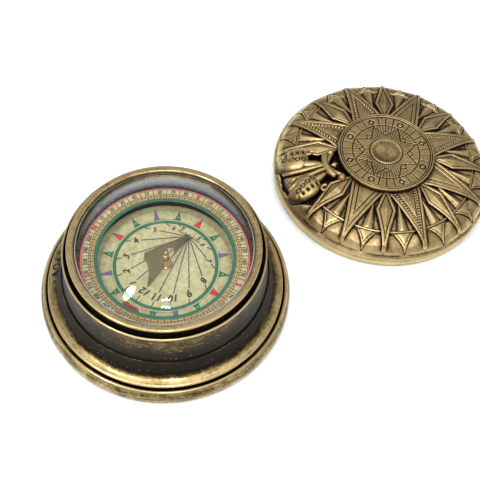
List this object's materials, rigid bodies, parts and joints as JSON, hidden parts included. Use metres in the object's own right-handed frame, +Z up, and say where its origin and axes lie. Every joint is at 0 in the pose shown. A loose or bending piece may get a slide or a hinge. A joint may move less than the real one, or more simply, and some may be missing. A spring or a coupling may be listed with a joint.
{
  "type": "pocket sundial compass",
  "caption": "Pocket sundial compass: turned antique brass case with a glazed self-orienting dial and gnomon, and a domed star-relief lid lying beside it.",
  "frame": {"origin": "centre of the foot on the table plane, on the axis of the case", "axes": "+Z up out of the foot along the dial's pivot axis; the lid lies on the same table plane in the +X +Y quarter"},
  "size_m": [0.1484, 0.1333, 0.0374],
  "materials": {
    "antique_brass": "antiqued brass, darkened in the recesses",
    "lid_brass": "antiqued cast brass, darkened in the recesses",
    "bright_brass": "polished",
    "gnomon_brass": "dull rolled sheet",
    "crystal_glass": "clear polished",
    "jewel_glass": "polished",
    "black_rubber": "matte",
    "polished_wall": "glossy dark grey",
    "dark_metal": "satin",
    "black_well": "matte black",
    "scale_paper": "printed paper",
    "dial_paper": "printed paper",
    "card_backing": "satin",
    "needle_steel": "polished",
    "magnet_steel": "dull"
  },
  "bodies": {
    "case": {"foot_ring": "antique_brass", "case_body": "antique_brass", "base_plate": "antique_brass", "bezel_ring": "antique_brass", "crystal": "crystal_glass", "crystal_seal": "black_rubber", "inner_wall": "polished_wall", "degree_tray": "dark_metal", "degree_print": "scale_paper", "well_cup": "black_well", "pivot_boss": "bright_brass", "pivot_pin": "needle_steel"},
    "dial": {"card_disc": "card_backing", "card_print": "dial_paper", "magnets": "magnet_steel", "gnomon": "gnomon_brass", "pivot_cap": "bright_brass", "cap_jewel": "jewel_glass"},
    "lid": {"lid_shell": "lid_brass", "lid_collar": "lid_brass", "lid_medallion": "lid_brass", "long_rays": "lid_brass", "kite_rays": "lid_brass", "lid_fleur": "lid_brass"}
  },
  "joints": [
    {"name": "dial_turn", "type": "hinge", "parent": "case", "child": "dial", "pos_m": [0, 0, 0.0193], "axis": [0, 0, 1], "continuous": true},
    {"name": "lid_lift", "type": "slide", "parent": "case", "child": "lid", "axis": [0, 0, 1], "range_m": [0, 0.04]}
  ]
}
